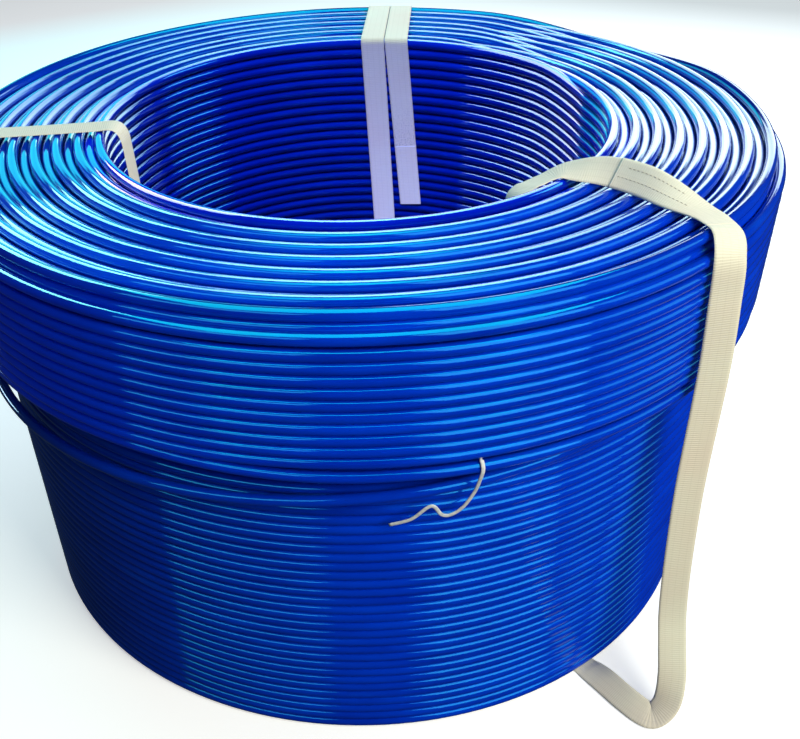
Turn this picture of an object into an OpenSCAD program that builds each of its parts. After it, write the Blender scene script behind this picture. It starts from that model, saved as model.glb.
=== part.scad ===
// Coil of sheathed seven-wire prestressing strand, standing on its end and tied with woven straps.
// Millimetres, +Z along the coil's axis, origin on the axis at the floor.

/* [Strand] */
// Outside diameter of the sheathed strand
strand_d = 16; // [14:0.5:18]
// Gap between neighbouring turns along the axis
turn_gap = 0.4; // [0.2:0.1:1]
// How far neighbouring layers nest into one another
layer_nest = 0.3; // [0:0.1:1]
// Slack between the layers of the lower block
lower_slack = 0.3; // [0.1:0.1:0.6]

/* [Coil] */
// Diameter of the bore, over the rubbed inner turns
bore_d = 760; // [700:5:860]
// Turns in a full layer, from the floor to the top
turn_count = 45; // [43:1:48]
// Layers in the upper, wider block
upper_layers = 16; // [16:1:18]
// Layers in the lower, narrower block
lower_layers = 13; // [12:1:14]
// Turns in the lower block's outermost layer
lower_turns = 29; // [27:1:31]

/* [Straps] */
// Width of the woven strap
strap_w = 42; // [30:1:50]
// Thickness of the woven strap
strap_t = 1.2; // [0.8:0.1:1.3]
// Azimuth of the left strap
left_azimuth = 185; // [175:1:195]
// Azimuth of the back strap where it crosses the top
back_azimuth = 85; // [75:1:95]
// Sideways lean of the back strap
back_lean = 3; // [0:0.5:5]
// Azimuth of the slack right strap where it crosses the top
right_azimuth = -45; // [-55:1:-35]
// Sideways lean of the slack right strap
right_lean = 7; // [0:0.5:8]
// Reach of the right strap's slack fold, beyond the coil's side
fold_out = 107; // [70:1:150]
// Radius of the right strap's slack fold on the floor
fold_r = 28; // [18:1:40]
// Gap between the back strap and its free tail
tail_gap = 2; // [1:0.5:10]
// Extra lean of the free tail, away from the back strap
tail_spread = 2; // [0:0.5:3]
// Length of the free tail down the bore, from the coil's top
tail_drop = 310; // [150:5:450]
// Length of the free tail down the outside, from the coil's top
tail_back_drop = 150; // [80:5:180]

/* [Loose turn] */
// Azimuth where the loose turn has slipped furthest out
slip_azimuth = 215; // [210:1:222]
// Half of the angle over which it has slipped
slip_spread = 115; // [105:1:120]
// How far it hangs below the turn that it slipped over
slip_drop = 18; // [14:1:30]
// How far it stands off the lower block's side
slip_bulge = 12; // [8:1:14]

/* [Tie strip] */
// Width of the thin binding strip
tie_w = 5; // [3:0.5:8]
// Thickness of the thin binding strip
tie_t = 1.2; // [0.8:0.1:2]

/* [Hidden] */
$fn = 48;
overrun = 20;
sheath_blue = [0.02, 0.16, 0.72];
webbing_cream = [0.88, 0.85, 0.78];
strip_white = [0.93, 0.93, 0.95];

// Clearance between a strap and the turns that it lies on
strap_gap = 0.3;
// Depth rubbed flat on the innermost turns, which makes the bore's true wall
rub_depth = 0.15;
// Flats round the section of each turn on the coil's outline, and of each turn in its bore
turn_flats = 12;
bore_flats = 8;
// Height of the core between neighbouring turns, above their centres, in strand radii
groove_share = 0.55;
// Clearance round the loose turn and under the tie strip
seat_gap = 0.3;
// Turns of height taken by the step between the two blocks
step_turns = 5;
// Turns by which the outermost layer stops short of the top
edge_short_share = 1;
// Place of the single turn under the upper block, in turns below it and strands inside it
stray_fall_share = 1.45;
stray_inset_share = 0.15;
// Depth of the seat behind the loose turn, and of the notch above the single turn, in strands
seat_depth_share = 0.6;
notch_depth_share = 0.5;
// Height where the taut straps leave the lower block, in turns below its head
hold_share = 0.6;
arc_steps = 6;
band_steps = 360;
ring_steps = 120;
ring_sides = 10;

strand_r = strand_d / 2;
turn_pitch = strand_d + turn_gap;
upper_pitch = strand_d - layer_nest;
lower_pitch = strand_d + lower_slack;
bore_r = bore_d / 2;
inner_r = bore_r + strand_r - rub_depth;
floor_z = strap_t + strap_gap;
upper_turns = turn_count - lower_turns - step_turns;

function turn_z(k) = floor_z + strand_r + k * turn_pitch;
function layer_shift(i) = i % 2 / 2;
function lower_turn(i, k) = [inner_r + i * lower_pitch, turn_z(k + layer_shift(i))];
function upper_turn(i, k) = [inner_r + i * upper_pitch, turn_z(turn_count - 1 - k - layer_shift(i))];

// Turn centres that stand on the coil's outline, in the plane of radius and height
foot_turns = [for (i = [0 : lower_layers - 1]) lower_turn(i, 0)];
lower_side = [for (k = [0 : lower_turns - 1]) lower_turn(lower_layers - 1, k)];
upper_side = [for (k = [0 : upper_turns - 1]) upper_turn(upper_layers - 1, k + edge_short_share)];
head_turns = [for (i = [upper_layers - 2 : -1 : 0]) upper_turn(i, 0)];
lower_head = lower_side[lower_turns - 1];
upper_foot = upper_side[upper_turns - 1];
upper_edge = upper_side[0];
bore_turns = [for (k = [1 : turn_count - 2]) lower_turn(0, k)];
stray_turn = upper_foot - [strand_d * stray_inset_share, turn_pitch * stray_fall_share];
seat_x = lower_head.x - strand_d * seat_depth_share;
notch = [stray_turn.x - strand_d * notch_depth_share, (stray_turn.y + upper_foot.y) / 2];

// One revolved section: a core that fills most of the groove between the turns, the turns of the two
// ends, of the outer side and of the bore, and the bore's cut, which rubs its turns flat
module strand_coil() {
    up = [0, strand_r * groove_share];
    out = [strand_r * groove_share, 0];
    wall_x = inner_r - strand_r * groove_share;
    bore_turn_d = strand_d / cos(180 / bore_flats);
    core = concat([for (centre = foot_turns) centre - up], [foot_outer + out, lower_head + out],
        [[seat_x, lower_head.y + strand_r], [seat_x, stray_turn.y], stray_turn, notch, upper_foot + out],
        [upper_edge + out, upper_edge, head_turns[0]], [for (centre = head_turns) centre + up],
        [[wall_x, head_inner.y], [wall_x, foot_inner.y]]);
    rim = concat(foot_turns, lower_side, [stray_turn], upper_side, head_turns);
    color(sheath_blue)
        rotate_extrude()
            difference() {
                union() {
                    polygon(core);
                    for (centre = rim) translate(centre) circle(d = strand_d, $fn = turn_flats);
                    for (centre = bore_turns)
                        translate(centre)
                            rotate(180 / bore_flats)
                                circle(d = bore_turn_d, $fn = bore_flats);
                }
                translate([0, -overrun]) square([bore_r, turn_z(turn_count) + overrun]);
            }
}

// The loose turn rolls off its seat, over the lower block's head turn, and hangs down the side
roll_r = strand_d + seat_gap;
roll_length = roll_r * PI / 2;
function slip(azimuth) =
    let (away = abs((azimuth - slip_azimuth + 540) % 360 - 180))
    away < slip_spread ? (1 + cos(180 * away / slip_spread)) / 2 : 0;
function loose_centre(azimuth) =
    let (s = slip(azimuth), travel = s * (roll_length + slip_drop))
    let (roll = min(90, 90 * travel / roll_length))
    [lower_head.x + roll_r * sin(roll) + slip_bulge * s * s,
     lower_head.y + roll_r * cos(roll) - max(0, travel - roll_length)];
function loose_point(azimuth, side) =
    let (c = loose_centre(azimuth), r = c.x + strand_r * cos(side))
    [r * cos(azimuth), r * sin(azimuth), c.y + strand_r * sin(side)];

module loose_turn() {
    points = [for (i = [0 : ring_steps - 1], j = [0 : ring_sides - 1])
        loose_point(360 * i / ring_steps, 360 * j / ring_sides + 180 / ring_sides)];
    faces = [for (i = [0 : ring_steps - 1], j = [0 : ring_sides - 1])
        let (a = i * ring_sides, b = (i + 1) % ring_steps * ring_sides, n = (j + 1) % ring_sides)
        for (tri = [[a + j, a + n, b + n], [a + j, b + n, b + j]]) tri];
    color(sheath_blue) polyhedron(points, faces);
}

// A strap's path round a list of turn centres, each with the extra radius of its bend
function edge_turn(a, b) =
    let (run = [b.x - a.x, b.y - a.y])
    atan2(run.y, run.x) - 90 + asin((a.z - b.z) / norm(run));
function heading(angle) = [cos(angle), sin(angle)];
function bend(before, at, after, lift) =
    let (a = edge_turn(before, at), turn = (edge_turn(at, after) - a + 540) % 360 - 180, r = lift + at.z)
    turn > 0
        ? [for (k = [0 : arc_steps]) [at.x, at.y] + r * heading(a + turn * k / arc_steps)]
        : [[at.x, at.y] + r / cos(turn / 2) * heading(a + turn / 2)];
function wrap(turns, lift) =
    let (n = len(turns))
    [for (i = [0 : n - 1]) each bend(turns[(i + n - 1) % n], turns[i], turns[(i + 1) % n], lift)];
function on_turn(centre) = [centre.x, centre.y, 0];

foot_inner = foot_turns[0];
foot_outer = foot_turns[lower_layers - 1];
hold = lower_head - [0, turn_pitch * hold_share];
head_outer = head_turns[upper_layers % 2];
head_inner = head_turns[upper_layers - 2];
fold_reach = upper_edge.x + strand_r + fold_out;
fold_centre = [fold_reach - fold_r, fold_r];
fold_lift = fold_r - strand_r - strap_gap - strap_t;
taut_turns = [on_turn(foot_inner), on_turn(foot_outer), on_turn(hold), on_turn(stray_turn),
    on_turn(upper_foot), on_turn(upper_edge), on_turn(head_outer), on_turn(head_inner)];
slack_turns = [on_turn(foot_inner), [fold_centre.x, fold_centre.y, fold_lift], on_turn(upper_edge),
    on_turn(head_outer), on_turn(head_inner)];
strap_top = turn_z(turn_count - 1) + strand_r;

module band(turns) {
    difference() {
        polygon(wrap(turns, strand_r + strap_gap + strap_t));
        polygon(wrap(turns, strand_r + strap_gap));
    }
}

// Strap width cut from the revolved band, leaning about the coil's top
module strap(azimuth, lean, aside) {
    rotate(azimuth)
        intersection() {
            rotate_extrude($fn = band_steps) children();
            translate([0, 0, strap_top])
                rotate([-lean, 0, 0])
                    translate([0, aside - strap_w / 2, -strap_top * 2])
                        cube([fold_reach + overrun, strap_w, strap_top * 3]);
        }
}

module strap_left() {
    color(webbing_cream) strap(left_azimuth, 0, 0) band(taut_turns);
}

module strap_back() {
    color(webbing_cream) strap(back_azimuth, back_lean, 0) band(taut_turns);
}

module strap_back_tail() {
    color(webbing_cream)
        strap(back_azimuth, back_lean + tail_spread, -strap_w - tail_gap)
            difference() {
                band(taut_turns);
                translate([0, -overrun]) square([foot_inner.x + overrun, strap_top - tail_drop + overrun]);
                translate([foot_inner.x, -overrun])
                    square([fold_reach, strap_top - tail_back_drop + overrun]);
            }
}

module strap_right() {
    color(webbing_cream) strap(right_azimuth, right_lean, 0) band(slack_turns);
}

// Bends of the tie strip: azimuth, height below the single turn and standoff, in strands
tie_bend_shares = [[-77.2, -0.7, 2.15], [-77.2, -0.1, 2.35], [-77.3, 0.7, 2.3], [-77.6, 2.6, 1.6],
    [-78.7, 4.3, 1.2], [-80, 5.1, 1], [-81.2, 5, 1], [-82.6, 3.8, 1.2], [-84.9, 5.2, 0.9], [-87.5, 5.9, 0.6]];
tie_r = lower_head.x + strand_r + seat_gap;
tie_last = len(tie_bend_shares) - 1;
function unit(v) = v / norm(v);
function tie_out(i) = [cos(tie_bend_shares[i][0]), sin(tie_bend_shares[i][0]), 0];
function tie_spot(i) = (tie_r + strand_d * tie_bend_shares[i][2]) * tie_out(i)
    + [0, 0, stray_turn.y - strand_d * tie_bend_shares[i][1]];
function tie_across(i) = unit(cross(tie_spot(min(i + 1, tie_last)) - tie_spot(max(i - 1, 0)), tie_out(i)));
function tie_section(i) = [for (c = [[-1, 0], [-1, 1], [1, 1], [1, 0]])
    tie_spot(i) + tie_w / 2 * c.x * tie_across(i) + tie_t * c.y * tie_out(i)];

module tie_strip() {
    points = [for (i = [0 : tie_last]) each tie_section(i)];
    sides = [for (i = [0 : tie_last - 1], j = [0 : 3])
        let (a = 4 * i, b = a + 4, k = (j + 1) % 4)
        for (tri = [[a + j, b + k, a + k], [a + j, b + j, b + k]]) tri];
    e = 4 * tie_last;
    caps = [[0, 1, 2], [0, 2, 3], [e, e + 2, e + 1], [e, e + 3, e + 2]];
    color(strip_white) polyhedron(points, concat(sides, caps));
}

strand_coil();
loose_turn();
strap_left();
strap_back();
strap_back_tail();
strap_right();
tie_strip();
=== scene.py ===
import math

import bpy
import numpy as np
from mathutils import Matrix, Vector


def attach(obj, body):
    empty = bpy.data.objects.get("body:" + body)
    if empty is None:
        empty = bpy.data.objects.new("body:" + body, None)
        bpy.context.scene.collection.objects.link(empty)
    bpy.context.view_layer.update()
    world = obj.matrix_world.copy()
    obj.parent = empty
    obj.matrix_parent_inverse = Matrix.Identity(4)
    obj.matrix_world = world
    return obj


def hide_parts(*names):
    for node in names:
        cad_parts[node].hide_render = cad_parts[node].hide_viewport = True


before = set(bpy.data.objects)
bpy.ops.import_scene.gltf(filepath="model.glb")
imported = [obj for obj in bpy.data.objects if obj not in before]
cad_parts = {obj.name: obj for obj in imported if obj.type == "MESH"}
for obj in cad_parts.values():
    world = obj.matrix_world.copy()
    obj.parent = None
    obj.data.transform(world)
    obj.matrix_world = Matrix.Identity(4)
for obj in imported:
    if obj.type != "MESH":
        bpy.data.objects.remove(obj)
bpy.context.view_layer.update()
print("frame loaded:", ", ".join(sorted(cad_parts)))

scene = bpy.context.scene
scene.view_settings.view_transform = "Standard"  # keeps the strong blue as strong as it is


# Camera: a pinhole fitted to the coil's two rims, its step and its foot
view = {
    "imageWidth": 800,
    "imageHeight": 739,
    "focalPixels": 1015.11,
    "centrePixel": (367.57, 490.0),
    "place": (0.0003, -1.5703, 1.2751),
    "pitch": math.radians(39.276),
    "roll": math.radians(-1.698),
    "sensor": 36.0,
    "clip": (0.05, 100.0),
}


def addCamera(view):
    # looks along +Y, tipped down by the pitch and turned by the roll about its own line of sight
    right = np.array([1.0, 0.0, 0.0])
    ahead = np.array([0.0, math.cos(view["pitch"]), -math.sin(view["pitch"])])
    up = np.cross(right, ahead)
    turnedRight = math.cos(view["roll"]) * right + math.sin(view["roll"]) * up
    turnedUp = math.cos(view["roll"]) * up - math.sin(view["roll"]) * right
    data = bpy.data.cameras.new("camera")
    width, height = view["imageWidth"], view["imageHeight"]
    data.sensor_width = view["sensor"]
    data.lens = view["focalPixels"] / width * view["sensor"]
    data.shift_x = 0.5 - view["centrePixel"][0] / width
    data.shift_y = (view["centrePixel"][1] - height / 2) / width
    data.clip_start, data.clip_end = view["clip"]
    camera = bpy.data.objects.new("camera", data)
    axes = np.stack([turnedRight, turnedUp, -ahead], axis=1)
    turn = Matrix(axes.tolist()).to_4x4()
    camera.matrix_world = Matrix.Translation(view["place"]) @ turn
    scene.collection.objects.link(camera)
    scene.camera = camera


addCamera(view)
print("camera placed")


# Small helpers: colour, nodes, easing, sway, meshes
def linear(hexColour):
    # sRGB hex to linear light, with full alpha
    parts = [int(hexColour[i:i + 2], 16) / 255 for i in (1, 3, 5)]
    return [c / 12.92 if c <= 0.04045 else ((c + 0.055) / 1.055) ** 2.4 for c in parts] + [1.0]


def addNode(tree, kind, values=None, links=None, **settings):
    node = tree.nodes.new(kind)
    for name, value in settings.items():
        setattr(node, name, value)
    for socket, value in (values or {}).items():
        node.inputs[socket].default_value = value
    for socket, source in (links or {}).items():
        tree.links.new(source, node.inputs[socket])
    return node


def ease(value, start, end):
    # 0 before start, 1 after end, 3t^2 - 2t^3 between
    t = np.clip((value - start) / (end - start), 0, 1)
    return t * t * (3 - 2 * t)


def sway(azimuth, row, seed, waves=6, rowTwist=0.12):
    # a few seeded cosine waves round the coil, which drift a little from row to row; within -1 and 1
    rng = np.random.default_rng(seed)
    phases = rng.uniform(0, 2 * np.pi, waves)
    drifts = rng.normal(0, rowTwist, waves)
    orders = np.arange(1, waves + 1)
    terms = np.cos(np.multiply.outer(azimuth, orders) + phases + np.multiply.outer(row, drifts))
    return (terms / orders).sum(-1) / (1 / orders).sum()


def rowJitter(row, seed, rows=64):
    # one seeded value a row, joined by straight lines; within -1 and 1
    values = np.random.default_rng(seed).uniform(-1, 1, rows)
    return np.interp(row, np.arange(rows), values)


def joinGrids(name, grids, closed, material):
    # each grid is (points[n, m, 3], along, across): quads between neighbouring rows and columns;
    # columns wrap round, rows wrap if the path is closed, and otherwise both ends get a cap
    points, loops, totals, uvs, base = [], [], [], [], 0
    for grid, along, across in grids:
        n, m = grid.shape[:2]
        rows = n if closed else n - 1
        i, j = np.meshgrid(np.arange(rows), np.arange(m), indexing="ij")
        corners = [(0, 0), (1, 0), (1, 1), (0, 1)]
        quads = [base + (i + di) % n * m + (j + dj) % m for di, dj in corners]
        quadUvs = [np.stack([along[i + di], across[j + dj]], -1) for di, dj in corners]
        loops.append(np.stack(quads, -1).ravel())
        uvs.append(np.stack(quadUvs, 2).reshape(-1, 2))
        totals.append(np.full(rows * m, 4))
        if not closed:
            ring = np.arange(m)
            loops += [base + ring, base + (n - 1) * m + ring[::-1]]
            ends = [(along[0], ring), (along[-1], ring[::-1])]
            uvs += [np.stack([np.full(m, a), across[order]], -1) for a, order in ends]
            totals.append(np.full(2, m))
        points.append(grid.reshape(-1, 3))
        base += n * m
    points, loops = np.concatenate(points), np.concatenate(loops)
    totals, uvs = np.concatenate(totals), np.concatenate(uvs)
    mesh = bpy.data.meshes.new(name)
    mesh.vertices.add(len(points))
    mesh.vertices.foreach_set("co", points.astype(np.float32).ravel())
    mesh.loops.add(len(loops))
    mesh.loops.foreach_set("vertex_index", loops.astype(np.int32))
    mesh.polygons.add(len(totals))
    mesh.polygons.foreach_set("loop_start", (np.cumsum(totals) - totals).astype(np.int32))
    mesh.polygons.foreach_set("use_smooth", totals == 4)
    mesh.uv_layers.new(name="UVMap")
    mesh.uv_layers[0].data.foreach_set("uv", uvs.astype(np.float32).ravel())
    mesh.update(calc_edges=True)
    mesh.validate()
    piece = bpy.data.objects.new(name, mesh)
    piece.data.materials.append(material)
    scene.collection.objects.link(piece)
    return piece


def standsFor(piece, node):
    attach(piece, "root")
    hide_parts(node)


# Materials
def newMaterial(name):
    material = bpy.data.materials.new(name)
    material.use_nodes = True
    tree = material.node_tree
    tree.nodes.clear()
    output = addNode(tree, "ShaderNodeOutputMaterial")
    shader = addNode(tree, "ShaderNodeBsdfPrincipled")
    tree.links.new(shader.outputs["BSDF"], output.inputs["Surface"])
    return material, tree, shader


def setInputs(shader, values):
    for name, value in values.items():
        shader.inputs[name].default_value = value


def ownUv(tree):
    return addNode(tree, "ShaderNodeUVMap", uv_map="UVMap").outputs["UV"]


def addNoise(tree, vector, metres, detail, roughness=0.5):
    values = {"Scale": 1 / metres, "Detail": detail, "Roughness": roughness}
    return addNode(tree, "ShaderNodeTexNoise", values, {"Vector": vector}).outputs["Fac"]


def addWave(tree, vector, metres, direction, unevenness=None):
    # at scale 1 the node's own wave is pi / 10 long
    values = {"Scale": math.pi / 10 / metres, **(unevenness or {})}
    node = addNode(tree, "ShaderNodeTexWave", values, {"Vector": vector}, bands_direction=direction,
                   wave_profile="SIN")
    return node.outputs["Fac"]


def addRange(tree, value, places, results=(0.0, 1.0)):
    # a straight line from one result to the other between the two places, level beyond them
    values = {"From Min": places[0], "From Max": places[1], "To Min": results[0], "To Max": results[1]}
    return addNode(tree, "ShaderNodeMapRange", values, {"Value": value}).outputs["Result"]


def addMath(tree, operation, *terms):
    # each term is a number or another node's output
    node = addNode(tree, "ShaderNodeMath", operation=operation)
    for socket, term in zip(node.inputs, terms):
        if isinstance(term, float):
            socket.default_value = term
        else:
            tree.links.new(term, socket)
    return node.outputs["Value"]


def addRamp(tree, value, places, colours):
    node = addNode(tree, "ShaderNodeValToRGB", links={"Fac": value})
    for stop, place, colour in zip(node.color_ramp.elements, places, colours):
        stop.position = place
        stop.color = linear(colour)
    return node.outputs["Color"]


def addMix(tree, factor, base, colour):
    links = {"Factor": factor, "A": base}
    return addNode(tree, "ShaderNodeMix", {"B": linear(colour)}, links, data_type="RGBA").outputs["Result"]


def addBump(tree, shader, height, bump):
    node = addNode(tree, "ShaderNodeBump", {"Strength": bump[0], "Distance": bump[1]}, {"Height": height})
    tree.links.new(node.outputs["Normal"], shader.inputs["Normal"])


sheath = {
    "deep": "#012CAC",
    "clear": "#0240CC",
    "scuff": "#1F66DC",
    "patchMetres": 0.22,  # colour drifts over a hand's breadth of strand
    "patchRange": (0.32, 0.68),
    "markMetres": 0.004,  # fine lines along the strand, coarser than the real ones so that they show
    "markStretch": 0.08,  # marks are long along the strand and short across it
    "markBump": (0.02, 0.0003),
    "scuffMetres": 0.03,
    "scuffRange": (0.60, 0.74),
    "scuffShare": 0.35,
    "roughness": (0.06, 0.11),
    "roughnessRange": (0.35, 0.75),
    "ior": 1.51,
    "specular": 1.0,  # mirrors more than its bulk would: the sheath is waxed
    "mirrorTint": "#58D8FF",
    "gloss": (0.25, 0.04),  # share and roughness of the clear, hard skin left by the extruder
}


def sheathMaterial(sheath):
    # extruded polyethylene: smooth and glossy, slightly waxy, with drawn lines along it and rubbed spots
    material, tree, shader = newMaterial("extrudedPolyethylene")
    uv = ownUv(tree)
    patch = addNoise(tree, uv, sheath["patchMetres"], detail=3.0)
    colour = addRamp(tree, patch, sheath["patchRange"], (sheath["deep"], sheath["clear"]))
    stretched = addNode(tree, "ShaderNodeMapping", {"Scale": (sheath["markStretch"], 1.0, 1.0)},
                        {"Vector": uv}).outputs["Vector"]
    lines = addNoise(tree, stretched, sheath["markMetres"], detail=2.0)
    rubbed = addNoise(tree, stretched, sheath["scuffMetres"], detail=6.0, roughness=0.7)
    spots = addRange(tree, rubbed, sheath["scuffRange"], (0.0, sheath["scuffShare"]))
    worn = addMix(tree, spots, colour, sheath["scuff"])
    gloss = addRange(tree, rubbed, sheath["roughnessRange"], sheath["roughness"])
    tree.links.new(worn, shader.inputs["Base Color"])
    tree.links.new(gloss, shader.inputs["Roughness"])
    addBump(tree, shader, lines, sheath["markBump"])
    setInputs(shader, {
        "IOR": sheath["ior"],
        "Specular IOR Level": sheath["specular"],
        "Specular Tint": linear(sheath["mirrorTint"]),
        "Coat Weight": sheath["gloss"][0],
        "Coat Roughness": sheath["gloss"][1],
    })
    return material


webbing = {
    "cream": "#EEEBD8",
    "warm": "#EEE2D0",
    # painted shade for the rib grooves, and the colour of the darker warp lines
    "shadeAndLines": "#AEA48E",
    "ribMetres": 0.0032,  # weft ribs, drawn about twice as coarse as woven so that they show
    "ribUnevenness": {"Distortion": 0.6, "Detail": 1.0, "Detail Scale": 2.0},
    "ribBump": (0.5, 0.0005),
    "grooveWidth": 0.25,
    "grooveShade": 0.14,
    "lineMetres": 0.0105,  # warp stripes along the strap
    "stripeWidth": 0.06,
    "stripeShade": 0.12,
    "stainMetres": 0.16,
    "stainRange": (0.35, 0.65),
    "roughness": 0.82,
    "sheen": 0.15,
}
tailWear = {
    "start": 0.49,
    "end": 0.581,
    "speckMetres": 0.0024,
    "speckRange": (0.50, 0.62),
    "speckShare": 0.45,
    "foldMetres": 0.0022,
    "grey": "#6E6A78",
    "pale": "#FFFDF6",
}


def webbingMaterial(name, webbing, wear=None):
    # woven polyester strap: matt, close weft ribs across it with painted shade in their grooves, darker warp
    # lines along it, uneven handling stains
    material, tree, shader = newMaterial(name)
    uv = ownUv(tree)
    stain = addNoise(tree, uv, webbing["stainMetres"], detail=4.0)
    tone = addRamp(tree, stain, webbing["stainRange"], (webbing["cream"], webbing["warm"]))
    ribs = addWave(tree, uv, webbing["ribMetres"], "X", webbing["ribUnevenness"])
    lines = addWave(tree, uv, webbing["lineMetres"], "Y")
    # painted shade in the grooves between the weft ribs, where the rib bump is low; the stripes are darker
    # warp lines
    grooves = addRange(tree, ribs, (0.0, webbing["grooveWidth"]), (webbing["grooveShade"], 0.0))
    stripes = addRange(tree, lines, (0.0, webbing["stripeWidth"]), (webbing["stripeShade"], 0.0))
    woven = addMix(tree, addMath(tree, "MAXIMUM", grooves, stripes), tone, webbing["shadeAndLines"])
    if wear:
        # rubbed specks between two places along the strap, then a pale line where it was folded
        along = addNode(tree, "ShaderNodeSeparateXYZ", links={"Vector": uv}).outputs["X"]
        specks = addNoise(tree, uv, wear["speckMetres"], detail=1.0)
        dense = addRange(tree, specks, wear["speckRange"], (0.0, wear["speckShare"]))
        begun = addRange(tree, along, (wear["start"], wear["end"]))
        before = addMath(tree, "LESS_THAN", along, wear["end"])
        amount = addMath(tree, "MULTIPLY", addMath(tree, "MULTIPLY", begun, before), dense)
        woven = addMix(tree, amount, woven, wear["grey"])
        folded = addMath(tree, "COMPARE", along, wear["end"], wear["foldMetres"] / 2)
        woven = addMix(tree, folded, woven, wear["pale"])
    tree.links.new(woven, shader.inputs["Base Color"])
    addBump(tree, shader, ribs, webbing["ribBump"])
    setInputs(shader, {"Roughness": webbing["roughness"], "Sheen Weight": webbing["sheen"]})
    return material


strip = {
    "white": "#EDEFF4",
    "grey": "#C6CCD6",
    "creaseMetres": 0.006,
    "creaseRange": (0.3, 0.6),
    "creaseBump": (0.3, 0.0006),
    "roughness": 0.42,
}


def stripMaterial(strip):
    # thin polypropylene binding strip: white, half matt, lightly creased where it was pulled, with painted
    # shade: greyer where the crease bump is low
    material, tree, shader = newMaterial("polypropyleneStrip")
    crease = addNoise(tree, ownUv(tree), strip["creaseMetres"], detail=3.0)
    # painted shade: grey in the crease hollows, where the bump is low, and white on the ridges
    tone = addRamp(tree, crease, strip["creaseRange"], (strip["grey"], strip["white"]))
    tree.links.new(tone, shader.inputs["Base Color"])
    addBump(tree, shader, crease, strip["creaseBump"])
    setInputs(shader, {"Roughness": strip["roughness"]})
    return material


threadLook = {"tan": "#A89A88", "pale": "#D2C8B6", "twistMetres": 0.002, "roughness": 0.6}


def threadMaterial(threadLook):
    # twisted polyester sewing thread: half matt, with painted highlight and painted shade by turns along its
    # twist
    material, tree, shader = newMaterial("polyesterThread")
    # painted highlight and painted shade along the twist; the thread's tube itself is smooth
    twist = addWave(tree, ownUv(tree), threadLook["twistMetres"], "DIAGONAL")
    tone = addRamp(tree, twist, (0.0, 1.0), (threadLook["tan"], threadLook["pale"]))
    tree.links.new(tone, shader.inputs["Base Color"])
    setInputs(shader, {"Roughness": threadLook["roughness"]})
    return material


sheathBlue = sheathMaterial(sheath)
webbingCream = webbingMaterial("wovenPolyester", webbing)
webbingWorn = webbingMaterial("wovenPolyesterWorn", webbing, tailWear)
stripWhite = stripMaterial(strip)
threadTan = threadMaterial(threadLook)
print("materials made")


# Coil: the strand's turns where they can be seen, wound as on a mandrel
coil = {
    "strandRadius": 0.008,
    "turnPitch": 0.0164,
    "upperPitch": 0.0157,
    "lowerPitch": 0.0163,
    "innerRadius": 0.38785,
    "footZ": 0.0095,
    "turns": 45,
    "upperLayers": 16,
    "lowerLayers": 13,
    "lowerTurns": 29,
    "upperTurns": 11,
    "strayFall": 1.45,
    "strayInset": 0.15,
    "strayLift": 0.45,  # turns by which the single turn lies nearer the block behind, before it sags in front
    "sagShares": (0.56, 0.64),  # where in its round it sags
    "edgeLift": 0.0035,  # the outermost top turn rides up and leaves a gap below it
    "sides": 12,
    "stepsPerTurn": 168,
    "crossingAzimuth": math.radians(38),
    "crossingJitter": math.radians(5),
    "crossingShare": 0.075,  # share of a turn over which the strand steps to its next place
    "wander": 0.0007,
    "headWander": 0.0022,
    "strayTuck": 0.4,  # strand radii by which an outer side's last end drops as it goes in
    "lowerTuck": 0.5,
}
seeds = {"bore": 11, "jitter": 3, "head": 20, "side": 41, "behind": 42, "lower": 51, "foot": 60}
strandR = coil["strandRadius"]


def turnZ(k):
    return coil["footZ"] + coil["turnPitch"] * np.asarray(k, float)


def layerShift(i):
    return np.asarray(i) % 2 / 2


def lowerR(i):
    return coil["innerRadius"] + coil["lowerPitch"] * np.asarray(i, float)


def upperR(i):
    return coil["innerRadius"] + coil["upperPitch"] * np.asarray(i, float)


def windPath(radii, heights, azimuth, seed, wander, inward, fall=(0.0, 0.0), rise=(0.0, 0.0)):
    # keeps to one turn's place for most of a round, then eases over to the next turn's place;
    # wander moves the strand only towards the body of the coil, where fall and rise hide its two ends
    steps, n = coil["stepsPerTurn"], len(radii)
    travel = np.arange(n * steps + 1) / steps
    turn = np.minimum(travel.astype(int), n - 1)
    crossing = ease(travel - turn, 1 - coil["crossingShare"], 1)
    radii, heights = np.append(radii, radii[-1] + fall[0]), np.append(heights, heights[-1] + fall[1])
    radius = radii[turn] + (radii[turn + 1] - radii[turn]) * crossing
    height = heights[turn] + (heights[turn + 1] - heights[turn]) * crossing
    start = 1 - ease(travel, 0, coil["crossingShare"])
    radius, height = radius + rise[0] * start, height + rise[1] * start
    around = azimuth + 2 * np.pi * travel
    radius += inward[0] * wander * (1 + sway(around, travel, seed)) / 2
    height += inward[1] * wander * (1 + sway(around, travel, seed + 1)) / 2
    return around, radius, height


def tubeGrid(around, radius, height):
    # circle of the strand's radius carried round the axis:
    # ((r + a cos s) cos u, (r + a cos s) sin u, z + a sin s)
    s = np.linspace(0, 2 * np.pi, coil["sides"] + 1)
    reach = radius[:, None] + strandR * np.cos(s[:-1])
    points = np.stack([reach * np.cos(around)[:, None], reach * np.sin(around)[:, None],
                       height[:, None] + strandR * np.sin(s[:-1])], -1)
    along = np.concatenate([[0], np.cumsum(np.diff(around) * radius[1:])])
    return points, along, strandR * s


def coilPiece(name, paths):
    piece = joinGrids(name, [tubeGrid(*path) for path in paths], False, sheathBlue)
    standsFor(piece, "strand_coil")
    print(name, "turns:", len(paths), "paths,", len(piece.data.polygons), "faces")
    return piece


top, layers = coil["turns"] - 1, coil["upperLayers"]
crossAt, wander = coil["crossingAzimuth"], coil["wander"]
oneDown = (0, -coil["turnPitch"])  # hides an end one turn further down

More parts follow.
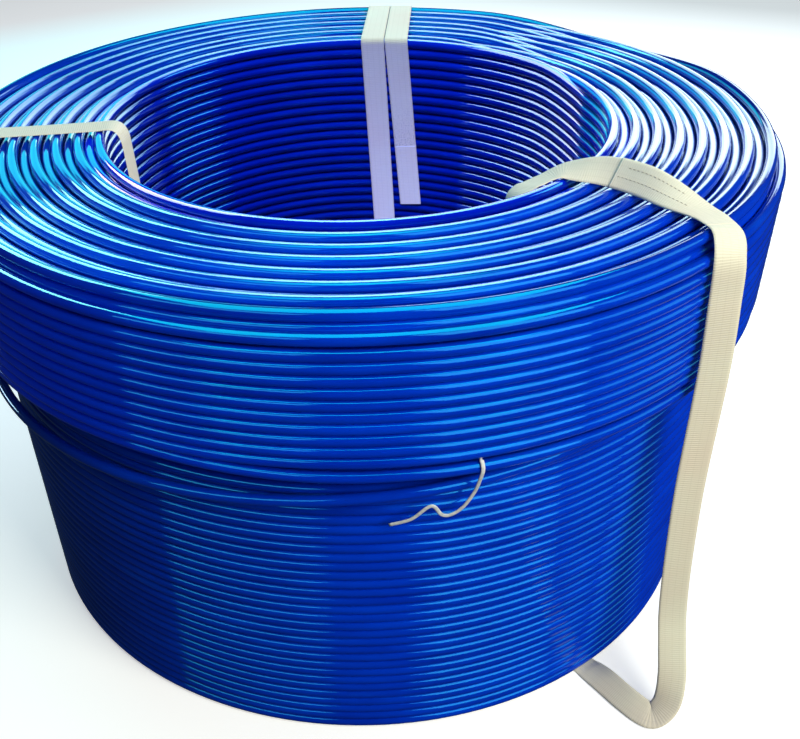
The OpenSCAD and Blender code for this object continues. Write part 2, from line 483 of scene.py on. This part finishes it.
# bore: one layer wound from the floor to the top, then one turn out on the second layer
boreRadii = np.append(np.full(coil["turns"], lowerR(0)), upperR(1))
boreHeights = np.append(turnZ(np.arange(coil["turns"])), turnZ(top - 0.5))
borePath = windPath(boreRadii, boreHeights, crossAt, seeds["bore"], wander, (1, 0), oneDown)
borePiece = coilPiece("bore_turns", [borePath])

# top end: the strand comes up in one layer, crosses to the next and goes down again
headPaths = []
for i in range(2, layers - 2, 2):
    pair = np.array([i, i + 1])
    start = crossAt + coil["crossingJitter"] * rowJitter(i, seeds["jitter"])
    headPaths.append(windPath(upperR(pair), turnZ(top - layerShift(pair)), start, seeds["head"] + i,
                              coil["headWander"], (0, -1), oneDown, oneDown))
headPiece = coilPiece("head_turns", headPaths)

# outer side of the upper block, from the top end down to the single turn under the block
sideTurns = np.arange(coil["upperTurns"])
sideZ = turnZ(top - 1.5 - sideTurns)
sideZ[0] += coil["edgeLift"]
strayR = upperR(layers - 1) - 2 * strandR * coil["strayInset"]
strayZ = sideZ[-1] - coil["turnPitch"] * coil["strayFall"]
upperRadii = np.concatenate([[upperR(layers - 2)], np.full(len(sideTurns), upperR(layers - 1)), [strayR]])
strayLift = coil["turnPitch"] * coil["strayLift"]
upperHeights = np.concatenate([[turnZ(top)], sideZ, [strayZ + strayLift]])
strayEnd = (-2 * strandR, -coil["strayTuck"] * strandR)
sidePath = windPath(upperRadii, upperHeights, crossAt, seeds["side"], wander, (-1, -1), strayEnd, oneDown)
lastRound = (sidePath[0] - crossAt) / (2 * np.pi) - len(sideTurns) - 1
sidePath[2][:] -= strayLift * ease(lastRound, *coil["sagShares"])
# one turn more shows in the gap between the last two layers
behindPath = windPath(upperR([layers - 2]), turnZ([top - 1]), crossAt, seeds["behind"], wander, (-1, -1),
                      (-strandR, 0), (-strandR, 0))
upperPiece = coilPiece("upper_side_turns", [sidePath, behindPath])

# outer side of the lower block
lowerHeights = turnZ(np.arange(coil["lowerTurns"]))
lowerSideR = float(lowerR(coil["lowerLayers"] - 1))
lowerEnd = (-2 * strandR, -coil["lowerTuck"] * strandR)
lowerPath = windPath(np.full(coil["lowerTurns"], lowerSideR), lowerHeights, crossAt, seeds["lower"], wander,
                     (-1, 0), lowerEnd)
lowerPiece = coilPiece("lower_side_turns", [lowerPath])

# bottom end, between the bore's first turn and the side's
footPaths = []
for i in range(1, coil["lowerLayers"] - 1, 2):
    pair = np.array([i, min(i + 1, coil["lowerLayers"] - 2)])[:coil["lowerLayers"] - 1 - i]
    footPaths.append(windPath(lowerR(pair), turnZ(layerShift(pair)), crossAt, seeds["foot"] + i, 0.0, (0, 0),
                              (0, coil["turnPitch"])))
footPiece = coilPiece("foot_turns", footPaths)

# the turns behind: a plain ring just behind the centres of the turns that show
core = {"setBack": 0.002, "seatDepth": 1.4, "notchDepth": 1.5, "steps": 144}


def coreGrid(core):
    # closed profile of radius and height carried round the axis
    back, lowTop = core["setBack"], lowerHeights[-1]
    seatR = lowerSideR - 2 * strandR * core["seatDepth"]
    notch = (strayR - 2 * strandR * core["notchDepth"], (strayZ + sideZ[-1]) / 2)
    headZ, footZ = turnZ(top - 0.5) - back, turnZ(0.5) + back
    outerR = upperR(layers - 1) - back
    profile = np.array([
        (lowerR(0) + back, footZ), (lowerSideR - back, footZ), (lowerSideR - back, lowTop),
        (seatR, lowTop + strandR), (seatR, strayZ), (strayR, strayZ), notch, (outerR, sideZ[-1]),
        (outerR, sideZ[1]), (upperR(layers - 2) - back, sideZ[1]), (upperR(layers - 2) - back, headZ),
        (lowerR(0) + back, headZ)], float)
    around = np.linspace(0, 2 * np.pi, core["steps"] + 1)
    u = around[:-1, None]
    points = np.stack([profile[:, 0] * np.cos(u), profile[:, 0] * np.sin(u),
                       np.broadcast_to(profile[:, 1], (core["steps"], len(profile)))], -1)
    edge = np.linalg.norm(np.diff(profile, axis=0, append=profile[:1]), axis=1)
    return points, around * outerR, np.concatenate([[0], np.cumsum(edge)])


corePiece = joinGrids("inner_turns", [coreGrid(core)], True, sheathBlue)
corePiece.data.polygons.foreach_set("use_smooth", np.zeros(len(corePiece.data.polygons), bool))
standsFor(corePiece, "strand_coil")

# Loose turn: has slipped over the lower block's top turn and hangs a little way down its side
loose = {
    "slipAzimuth": math.radians(215),
    "slipSpread": math.radians(115),
    "slipDrop": 0.018,
    "slipBulge": 0.012,
    "rollRadius": 0.0163,
    "steps": 360,
}


def looseGrid(loose):
    # rolls round the top turn by its slip, then hangs straight down; slip is a raised cosine of azimuth
    around = np.linspace(0, 2 * np.pi, loose["steps"] + 1)
    away = np.abs((around[:-1] - loose["slipAzimuth"] + 3 * np.pi) % (2 * np.pi) - np.pi)
    slip = np.where(away < loose["slipSpread"], (1 + np.cos(np.pi * away / loose["slipSpread"])) / 2, 0)
    rollLength = loose["rollRadius"] * np.pi / 2
    travel = slip * (rollLength + loose["slipDrop"])
    roll = np.minimum(np.pi / 2, np.pi / 2 * travel / rollLength)
    radius = lowerSideR + loose["rollRadius"] * np.sin(roll) + loose["slipBulge"] * slip ** 2
    height = lowerHeights[-1] + loose["rollRadius"] * np.cos(roll) - np.maximum(0, travel - rollLength)
    points, along, across = tubeGrid(around[:-1], radius, height)
    return points, np.append(along, along[-1] + along[1]), across


loosePiece = joinGrids("loose_turn_strand", [looseGrid(loose)], True, sheathBlue)
standsFor(loosePiece, "loose_turn")
print("coil wound")


# Straps: a flat woven section carried along its course
band = {
    "width": 0.042,
    "thickness": 0.0012,
    "selvedge": 0.45,  # share of the thickness that is left at the edges
    "columns": 12,
    "stepMetres": 0.0025,
    "lift": 0.0009,
    "floorGap": 0.0001,
    "leaveTurns": 0.6,  # turns below the lower block's top where a taut strap leaves its side
}


def bandSection(band):
    # upper face from edge to edge, then the lower face back, with thinner rounded selvedges
    a = np.linspace(-1, 1, band["columns"])
    half = band["thickness"] / 2 * np.where(np.abs(a) < 1, 1.0, band["selvedge"])
    across = a * band["width"] / 2
    return np.concatenate([across, across[::-1]]), np.concatenate([half, -half[::-1]])


def bandFrame(course, side, closed):
    # the side direction made square to the course, and the face that looks away from the coil
    if closed:
        tangent = np.roll(course, -1, 0) - np.roll(course, 1, 0)
    else:
        tangent = np.gradient(course, axis=0)
    tangent /= np.linalg.norm(tangent, axis=1, keepdims=True)
    side = side - (side * tangent).sum(1, keepdims=True) * tangent
    side /= np.linalg.norm(side, axis=1, keepdims=True)
    return side, np.cross(tangent, side)


def distances(course, closed):
    ahead = np.diff(course, axis=0, append=course[:1]) if closed else np.diff(course, axis=0)
    return np.concatenate([[0], np.cumsum(np.linalg.norm(ahead, axis=1))])


def carryBand(name, course, side, closed, node, material=None):
    # course points get the section: point + across * side + thickness * (tangent x side)
    side, face = bandFrame(course, side, closed)
    across, depth = bandSection(band)
    grid = course[:, None] + across[:, None] * side[:, None] + depth[:, None] * face[:, None]
    lowest = band["floorGap"] * (1 + depth / band["thickness"])  # the floor bears it
    grid[..., 2] = np.maximum(grid[..., 2], lowest)
    along = distances(course, closed)
    piece = joinGrids(name, [(grid, along, np.append(across, across[0]))], closed, material or webbingCream)
    standsFor(piece, node)
    print(name, "length", round(float(along[-1]), 3), "m")
    return piece, float(along[-1])


def resample(points, closed):
    # even steps along a polyline of any columns, measured on its first three
    if closed:
        points = np.vstack([points, points[:1]])
    far = distances(points[:, :3], False)
    count = int(round(far[-1] / band["stepMetres"]))
    at = np.linspace(0, far[-1], count + 1)
    if closed:
        at = at[:-1]
    return np.stack([np.interp(at, far, column) for column in points.T], 1)


def softCurve(rows, closed, fine=24):
    # a cubic through every row, with each slope taken from the row before and the row after
    if closed:
        before, after, ahead = np.roll(rows, 1, 0), np.roll(rows, -1, 0), np.roll(rows, -2, 0)
        start = rows
    else:
        padded = np.vstack([2 * rows[0] - rows[1], rows, 2 * rows[-1] - rows[-2]])
        before, start, after, ahead = padded[:-3], padded[1:-2], padded[2:-1], padded[3:]
    t = np.linspace(0, 1, fine, endpoint=False)[:, None, None]
    slope0, slope1 = (after - before) / 2, (ahead - start) / 2
    curve = ((2 * t ** 3 - 3 * t ** 2 + 1) * start + (t ** 3 - 2 * t ** 2 + t) * slope0
             + (3 * t ** 2 - 2 * t ** 3) * after + (t ** 3 - t ** 2) * slope1)
    curve = curve.transpose(1, 0, 2).reshape(-1, rows.shape[1])
    return curve if closed else np.vstack([curve, rows[-1:]])


def wrapLoop(centres, lift, arcPoints=7):
    # tight band round a list of turns: an arc round each outward corner, a sharp bend at an inward one
    centres = np.asarray(centres, float)
    into, out = centres - np.roll(centres, 1, 0), np.roll(centres, -1, 0) - centres
    first = np.arctan2(into[:, 1], into[:, 0]) - np.pi / 2
    swing = (np.arctan2(out[:, 1], out[:, 0]) - np.pi / 2 - first + 3 * np.pi) % (2 * np.pi) - np.pi
    share = np.linspace(0, 1, arcPoints)
    arcs = first[:, None] + swing[:, None] * np.where(swing[:, None] > 0, share, 0.5)
    reach = np.where(swing > 0, lift, lift / np.cos(swing / 2))
    corners = centres[:, None] + reach[:, None, None] * np.stack([np.cos(arcs), np.sin(arcs)], -1)
    return corners.reshape(-1, 2)


def turned(local, azimuth):
    # radial, sideways, up, at an azimuth, to x, y, z
    out = np.array([math.cos(azimuth), math.sin(azimuth), 0])
    left = np.array([-math.sin(azimuth), math.cos(azimuth), 0])
    up = np.array([0, 0, 1])
    return local[:, :1] * out + local[:, 1:2] * left + local[:, 2:3] * up


footZ, headTopZ, topEdge = float(turnZ(0)), float(turnZ(top)), float(turnZ(top)) + strandR
leaveZ = lowerHeights[-1] - band["leaveTurns"] * coil["turnPitch"]
tautTurns = [(lowerR(0), footZ), (lowerSideR, footZ), (lowerSideR, leaveZ), (strayR, strayZ + strayLift),
             (upperR(layers - 1), sideZ[-1]), (upperR(layers - 1), sideZ[0]), (upperR(layers - 2), headTopZ),
             (lowerR(0), headTopZ)]


def tautCourse(lean, aside=0.0):
    # band round the coil's section; leans sideways as it goes down from the top
    loop = resample(wrapLoop(tautTurns, strandR + band["lift"])[:, [0, 1, 1]] * [1, 0, 1], True)
    loop[:, 1] = aside - (topEdge - loop[:, 2]) * math.tan(lean)
    return loop


strapBack = {"azimuth": math.radians(85), "lean": math.radians(3)}
strapTail = {"azimuth": math.radians(85), "lean": math.radians(5.2), "aside": -0.0430, "drop": 0.310,
             "backDrop": 0.150}


def tautPlace(loop, azimuth):
    # keeps each point at its radius, however far it leans sideways
    bearing = azimuth + np.arcsin(loop[:, 1] / loop[:, 0])
    course = np.stack([loop[:, 0] * np.cos(bearing), loop[:, 0] * np.sin(bearing), loop[:, 2]], 1)
    return course, np.stack([-np.sin(bearing), np.cos(bearing), 0 * bearing], 1)


def tautStrap(name, strap, node):
    loop = tautCourse(strap["lean"])
    return carryBand(name, *tautPlace(loop, strap["azimuth"]), True, node)


backPiece, backLength = tautStrap("strap_back_webbing", strapBack, "strap_back")


def tailStrap(name, strap, node):
    loop = tautCourse(strap["lean"], strap["aside"])
    inBore = loop[:, 0] < lowerR(0)
    lowest = np.where(inBore, topEdge - strap["drop"], topEdge - strap["backDrop"])
    kept = loop[:, 2] > lowest
    first = np.flatnonzero(kept & ~np.roll(kept, 1))[0]
    course = np.roll(loop, -first, 0)[:kept.sum()]
    return carryBand(name, *tautPlace(course, strap["azimuth"]), False, node, webbingWorn)


tailPiece, tailLength = tailStrap("strap_back_tail_webbing", strapTail, "strap_back_tail")

# Slack straps: each row is radial, sideways and up in metres, then its far edge's direction in the same terms
strapLeft = {
    "azimuth": math.radians(185),
    "rows": [
        (0.3900, 0.000, 0.0007, 0, 1, 0), (0.4600, 0.000, 0.0007, 0, 1, 0),
        (0.5700, 0.000, 0.0007, 0, 1, 0), (0.5910, 0.000, 0.0060, 0, 1, 0),
        (0.5925, 0.000, 0.0300, 0, 1, 0), (0.5925, 0.001, 0.2000, 0, 1, 0),
        (0.5925, 0.001, 0.4000, 0, 1, 0), (0.5928, 0.001, 0.4480, 0, 1, 0),
        (0.5990, 0.001, 0.4670, 0, 1, 0), (0.6265, 0.000, 0.5130, 0, 1, 0),
        (0.6306, 0.000, 0.5250, 0, 1, 0), (0.6323, 0.000, 0.5450, 0, 1, 0),
        (0.6322, 0.000, 0.5700, 0, 1, 0), (0.6322, 0.000, 0.7000, 0, 1, 0),
        (0.6290, 0.000, 0.7180, 0, 1, 0), (0.6120, 0.000, 0.7385, 0, 1, 0),
        (0.5900, 0.000, 0.7402, 0, 1, 0), (0.5000, 0.001, 0.7404, 0, 1, 0),
        (0.4100, 0.000, 0.7405, 0, 1, 0), (0.3900, 0.000, 0.7408, 0, 1, 0),
        (0.3720, 0.000, 0.7412, 0.05, 1, 0), (0.3600, 0.001, 0.7370, 0.15, 1, 0),
        (0.3530, 0.003, 0.7240, 0.2, 1, 0), (0.3510, 0.005, 0.7000, 0.2, 1, 0),
        (0.3490, 0.007, 0.6600, 0.2, 1, 0), (0.3470, 0.009, 0.6000, 0.2, 1, 0),
        (0.3470, 0.010, 0.4500, 0.2, 1, 0), (0.3530, 0.008, 0.2500, 0.1, 1, 0),
        (0.3660, 0.004, 0.1000, 0, 1, 0), (0.3770, 0.001, 0.0300, 0, 1, 0),
        (0.3800, 0.000, 0.0080, 0, 1, 0),
    ],
}
strapRight = {
    "azimuth": math.radians(-45),
    "rows": [
        (0.3680, -0.084, 0.0200, -0.2, -1, 0), (0.3560, -0.090, 0.1000, -0.2, -1, 0),
        (0.3420, -0.100, 0.2000, 0.6, -0.8, 0), (0.3400, -0.110, 0.2700, 1, 0, 0),
        (0.3420, -0.120, 0.3500, 0.8, 0.7, 0), (0.3500, -0.104, 0.4600, 0.3, 1, 0),
        (0.3500, -0.092, 0.5800, 0.1, 1, 0), (0.3500, -0.086, 0.6500, 0, 1, -0.2),
        (0.3500, -0.077, 0.6940, -0.4, 0.7, -0.5), (0.3500, -0.060, 0.7200, -0.85, 0.3, -0.35),
        (0.3530, -0.042, 0.7290, -0.95, 0.05, -0.25), (0.3580, -0.026, 0.7320, -0.93, 0.1, -0.25),
        (0.3650, -0.008, 0.7365, -0.85, 0.42, -0.2), (0.3800, 0.008, 0.7445, -0.55, 0.8, 0.1),
        (0.4060, 0.015, 0.7500, -0.25, 0.85, 0.45), (0.4300, 0.021, 0.7533, -0.05, 0.78, 0.62),
        (0.4570, 0.023, 0.7545, 0.05, 0.68, 0.72), (0.4960, 0.021, 0.7545, 0, 0.68, 0.72),
        (0.5330, 0.017, 0.7500, -0.05, 0.85, 0.5), (0.5770, 0.014, 0.7425, 0.1, 1, 0.05),
        (0.6030, 0.006, 0.7412, 0.35, 0.93, -0.05), (0.6290, -0.009, 0.7375, 0.6, 0.8, -0.15),
        (0.6460, -0.027, 0.7150, 0.6, 0.8, -0.15), (0.6500, -0.025, 0.6600, 0.65, 0.76, -0.1),
        (0.6550, -0.023, 0.5600, 0.7, 0.72, -0.05), (0.6630, -0.035, 0.3860, 0.9, 1, 0),
        (0.6740, -0.043, 0.2570, 0.9, 1, 0), (0.6860, -0.050, 0.1680, 1, 1, 0),
        (0.7020, -0.062, 0.1150, 1, 0.9, -0.05), (0.7200, -0.078, 0.0680, 1, 0.5, -0.15),
        (0.7290, -0.096, 0.0330, 1, 0, -0.2), (0.7230, -0.115, 0.0140, 0.8, -0.5, -0.25),
        (0.7060, -0.121, 0.0120, 0.2, -0.9, -0.45), (0.6700, -0.118, 0.0130, -0.2, -1, -0.6),
        (0.6300, -0.109, 0.0115, -0.25, -1, -0.5), (0.6000, -0.101, 0.0060, -0.25, -1, -0.25),
        (0.5750, -0.095, 0.0008, -0.2, -1, 0), (0.5000, -0.090, 0.0007, -0.2, -1, 0),
        (0.4200, -0.086, 0.0007, -0.2, -1, 0), (0.3725, -0.084, 0.0032, -0.2, -1, 0),
    ],
}


def slackCourse(strap):
    course = resample(softCurve(np.array(strap["rows"], float), True), True)
    return turned(course[:, :3], strap["azimuth"]), turned(course[:, 3:], strap["azimuth"])


leftPiece, leftLength = carryBand("strap_left_webbing", *slackCourse(strapLeft), True, "strap_left")
rightCourse, rightSide = slackCourse(strapRight)
rightPiece, rightLength = carryBand("strap_right_webbing", rightCourse, rightSide, True, "strap_right")

# Sewn lap of the right strap: its two ends lie on each other and are stitched along
lap = {"start": 0.8645, "sewnTo": 0.9875, "end": 1.0375, "lift": 0.00125, "sink": 0.9}
stitches = {
    "threadRadius": 0.0004,  # drawn thicker than the real thread so that it shows
    "length": 0.0045,
    "gap": 0.0016,
    # sideways place, from and to along the strap
    "rows": [(-0.0046, 0.8705, 0.9805), (0.0095, 0.8805, 0.9645)],
    "arch": 1.6,
    "sunk": 0.6,
    "steps": 7,
    "sides": 6,
}


def lapCourse(lap, course, side):
    # the strap's own course raised by one thickness, which sinks back into it past the seam
    along = distances(course, True)[:-1]
    kept = (along >= lap["start"]) & (along <= lap["end"])
    rise = lap["lift"] * (1 - lap["sink"] * ease(along[kept], lap["sewnTo"], lap["end"]))
    side, face = bandFrame(course, side, True)
    return course[kept] + rise[:, None] * face[kept], side[kept]


def stitchGrids(stitches, course, side):
    # each stitch is a thread circle carried along a low arch: height = lift + r (arch sin(pi t) - sunk)
    along = distances(course, True)[:-1]
    frames = np.hstack([course, *bandFrame(course, side, True)])
    t, radius = np.linspace(0, 1, stitches["steps"]), stitches["threadRadius"]
    angle = np.linspace(0, 2 * np.pi, stitches["sides"] + 1)
    turn = np.stack([np.cos(angle[:-1]), -np.sin(angle[:-1])], -1) * radius
    arch = stitches["arch"] * np.sin(np.pi * t) - stitches["sunk"]
    height = lap["lift"] + band["thickness"] / 2 + radius * arch
    grids = []
    for aside, start, end in stitches["rows"]:
        starts = np.arange(start, end - stitches["length"], stitches["length"] + stitches["gap"])
        at = starts[:, None] + stitches["length"] * t
        spots = np.stack([np.interp(at, along, column) for column in frames.T], -1)
        sideAt, faceAt = spots[..., 3:6], spots[..., 6:9]
        centre = spots[..., :3] + aside * sideAt + height[:, None] * faceAt
        tubes = (centre[:, :, None] + turn[:, :1] * sideAt[:, :, None] + turn[:, 1:] * faceAt[:, :, None])
        grids += [(tube, stitches["length"] * t, radius * angle) for tube in tubes]
    return grids


lapPlace = lapCourse(lap, rightCourse, rightSide)
lapPiece, _ = carryBand("strap_right_lap", *lapPlace, False, "strap_right")
stitchTubes = stitchGrids(stitches, rightCourse, rightSide)
stitchPiece = joinGrids("strap_right_stitches", stitchTubes, False, threadTan)
standsFor(stitchPiece, "strap_right")
print("straps laid")


# Tie strip: knotted round the single turn, its end bent along the lower block's side
tie = {
    "width": 0.005,
    "thickness": 0.0012,
    "gap": 0.0003,
    "fine": 10,
    # azimuth in degrees, strands below the single turn, strands off the side
    "rows": [(-77.1, -0.62, 1.45), (-77.2, -0.66, 1.95), (-77.2, -0.35, 2.31), (-77.2, 0.1, 2.36),
             (-77.3, 0.7, 2.25), (-77.6, 2.6, 1.6), (-78.7, 4.3, 1.2), (-80.0, 5.1, 1.0), (-81.2, 5.0, 1.0),
             (-82.6, 3.8, 1.2), (-84.9, 5.2, 0.9), (-87.5, 5.9, 0.6)],
    # shares of half the width and half the thickness
    "section": [(-1, 0.6), (-0.5, 1), (0.5, 1), (1, 0.6), (1, -0.6), (0.5, -1), (-0.5, -1), (-1, -0.6)],
}


def tieGrid(tie):
    # flat section, thinner at its edges, carried along a soft curve on the side of the coil
    rows = softCurve(np.array(tie["rows"]), False, tie["fine"])
    azimuth = np.radians(rows[:, 0])
    stand = lowerSideR + strandR + tie["gap"]
    radius = stand + 2 * strandR * np.maximum(rows[:, 2], 0) + tie["thickness"] / 2
    out = np.stack([np.cos(azimuth), np.sin(azimuth), 0 * azimuth], 1)
    course = radius[:, None] * out
    course[:, 2] = strayZ - 2 * strandR * rows[:, 1]
    tangent = np.gradient(course, axis=0)
    tangent /= np.linalg.norm(tangent, axis=1, keepdims=True)
    side = np.cross(tangent, out)
    side /= np.linalg.norm(side, axis=1, keepdims=True)
    face = np.cross(tangent, side)
    shares = np.array(tie["section"], float)
    across, depth = tie["width"] / 2 * shares[:, 0], tie["thickness"] / 2 * shares[:, 1]
    grid = course[:, None] + across[:, None] * side[:, None] + depth[:, None] * face[:, None]
    return grid, distances(course, False), np.append(across, across[0])


tiePiece = joinGrids("tie_strip_band", [tieGrid(tie)], False, stripWhite)
standsFor(tiePiece, "tie_strip")
print("tie strip made")


# Floor and light
stageLook = {
    "floor": "#F4F4F4",
    "size": 30.0,
    "roughness": 0.9,
    "glow": 0.55,
    "world": "#9CCBFF",
    "worldStrength": 0.06,
}


def addFloor(stageLook):
    half = stageLook["size"] / 2
    corners = [(-half, -half, 0), (half, -half, 0), (half, half, 0), (-half, half, 0)]
    mesh = bpy.data.meshes.new("floor")
    mesh.from_pydata(corners, [], [(0, 1, 2, 3)])
    floor = bpy.data.objects.new("floor", mesh)
    material, _, shader = newMaterial("paleFloor")
    setInputs(shader, {
        "Base Color": linear(stageLook["floor"]),
        "Roughness": stageLook["roughness"],
        "Emission Color": linear(stageLook["floor"]),
        "Emission Strength": stageLook["glow"],
    })
    mesh.materials.append(material)
    scene.collection.objects.link(floor)
    # its white stays out of the sheath's gloss and colour
    floor.visible_diffuse = floor.visible_glossy = False
    world = bpy.data.worlds.new("world")
    world.use_nodes = True
    background = world.node_tree.nodes["Background"]
    setInputs(background, {"Color": linear(stageLook["world"]), "Strength": stageLook["worldStrength"]})
    scene.world = world
    return floor


floor = addFloor(stageLook)
outerTurns = [headPiece, upperPiece, lowerPiece, footPiece, corePiece, loosePiece]
slackPieces = [leftPiece, rightPiece, lapPiece, stitchPiece, tiePiece]
strapPieces = slackPieces + [backPiece, tailPiece]

# Soft panels: place, size, watts and colour; the pieces that a panel is kept to, if any; what it is seen in,
# which is the gloss alone for a bright sky, the matt colour alone for a fill, or both; the point that it
# faces, if not the coil's middle; its spread in degrees
coilMiddle, frontTop = (0.0, 0.0, 0.45), (0.0, -0.48, 0.74)
lamps = {
    "overhead": {"at": (0.0, 0.5, 3.3), "size": (3.2, 2.2), "watts": 50, "colour": "#DCF6FF",
                 "on": strapPieces + [floor]},
    "overBack": {"at": (0.0, 0.5, 3.3), "size": (3.2, 2.2), "watts": 62, "colour": "#F0FAFF",
                 "on": [backPiece, tailPiece], "seenIn": "matt"},
    "keyOnStraps": {"at": (1.75, -2.2, 2.1), "size": (1.5, 2.0), "watts": 92, "colour": "#FFFDEA",
                    "on": slackPieces + [floor]},
    "keyOnStrand": {"at": (1.61, -2.3, 2.1), "size": (2.0, 2.0), "watts": 50, "colour": "#80EAFF",
                    "on": outerTurns},
    "keyFill": {"at": (1.75, -2.2, 1.9), "size": (1.5, 2.0), "watts": 36, "colour": "#60F8FF",
                "on": outerTurns, "seenIn": "matt"},
    "rightSide": {"at": (3.0, -0.9, 2.0), "size": (2.0, 1.6), "watts": 18, "colour": "#80F4FF",
                  "on": outerTurns},
    "leftFill": {"at": (-2.2, -0.8, 2.4), "size": (1.6, 1.6), "watts": 62, "colour": "#48FFF4",
                 "on": [headPiece], "seenIn": "matt"},
    "frontLeft": {"at": (-1.85, -2.36, 2.5), "size": (2.7, 1.0), "watts": 26, "colour": "#80F0FF",
                  "on": outerTurns, "seenIn": "gloss"},
    "backRight": {"at": (1.38, 3.1, 1.5), "size": (2.8, 1.1), "watts": 41, "colour": "#F4FCFF"},
    "backLeft": {"at": (-1.5, 3.05, 1.5), "size": (2.8, 1.2), "watts": 32, "colour": "#30E4F0"},
    "lowLeft": {"at": (-3.1, 1.1, 0.8), "size": (1.0, 0.6), "watts": 14, "colour": "#E8F4FF",
                "on": [upperPiece, loosePiece], "seenIn": "gloss"},
    "leftShade": {"at": (-2.4, -1.4, 1.6), "size": (1.6, 1.6), "watts": 14, "colour": "#5070FF",
                  "on": [upperPiece], "seenIn": "matt"},
    "skyFront": {"at": (0.0, -1.0, 3.2), "size": (3.0, 1.6), "watts": 14, "colour": "#30FFE0",
                 "on": [headPiece], "seenIn": "gloss", "towards": frontTop, "spread": 60},
    "skyMiddle": {"at": (0.0, 1.2, 2.8), "size": (3.0, 1.3), "watts": 20, "colour": "#D0FFF6",
                  "on": [headPiece, borePiece], "seenIn": "gloss", "towards": frontTop, "spread": 60},
    "skyBack": {"at": (0.7, 3.2, 2.6), "size": (3.0, 1.5), "watts": 64, "colour": "#E0F6F0",
                "on": [headPiece, borePiece], "seenIn": "gloss"},
    "skyOnSide": {"at": (0.0, -0.1, 3.2), "size": (3.4, 3.6), "watts": 240, "colour": "#30FFF0",
                  "on": [upperPiece], "seenIn": "gloss"},
    "skyLeft": {"at": (-2.2, 1.9, 3.0), "size": (2.0, 1.6), "watts": 140, "colour": "#A8FFF0",
                "on": [headPiece, upperPiece], "seenIn": "gloss"},
    "boreDashes": {"at": (-1.95, 1.1, 2.7), "size": (2.2, 2.2), "watts": 240, "colour": "#FFC4B8",
                   "on": [borePiece], "seenIn": "gloss"},
    "boreLeft": {"at": (2.5, 0.5, 2.4), "size": (1.6, 0.8), "watts": 26, "colour": "#90F0FF",
                 "on": [borePiece], "seenIn": "gloss"},
    "boreFill": {"at": (0.0, -0.6, 3.0), "size": (1.5, 1.5), "watts": 86, "colour": "#3C84FF",
                 "on": [borePiece], "seenIn": "matt"},
    "boreBounce": {"at": (0.05, -0.2, 0.2), "size": (0.4, 0.3), "watts": 5.5, "colour": "#AAB2FC",
                   "on": [backPiece, tailPiece]},
}


def addLamp(name, look):
    data = bpy.data.lights.new(name, "AREA")
    data.shape = "RECTANGLE"
    data.size, data.size_y = look["size"]
    data.energy = look["watts"]
    data.color = linear(look["colour"])[:3]
    data.spread = math.radians(look.get("spread", 180))
    lamp = bpy.data.objects.new(name, data)
    towards = Vector(look.get("towards", coilMiddle)) - Vector(look["at"])
    lamp.rotation_mode = "QUATERNION"
    lamp.rotation_quaternion = towards.to_track_quat("-Z", "Y")
    lamp.location = look["at"]
    lamp.visible_camera = False
    lamp.visible_diffuse = look.get("seenIn") != "gloss"
    lamp.visible_glossy = look.get("seenIn") != "matt"
    scene.collection.objects.link(lamp)
    if "on" in look:
        reach = bpy.data.collections.new(name + "Reach")
        for piece in look["on"]:
            reach.objects.link(piece)
        lamp.light_linking.receiver_collection = reach


for name, look in lamps.items():
    addLamp(name, look)
print("floor and light set")
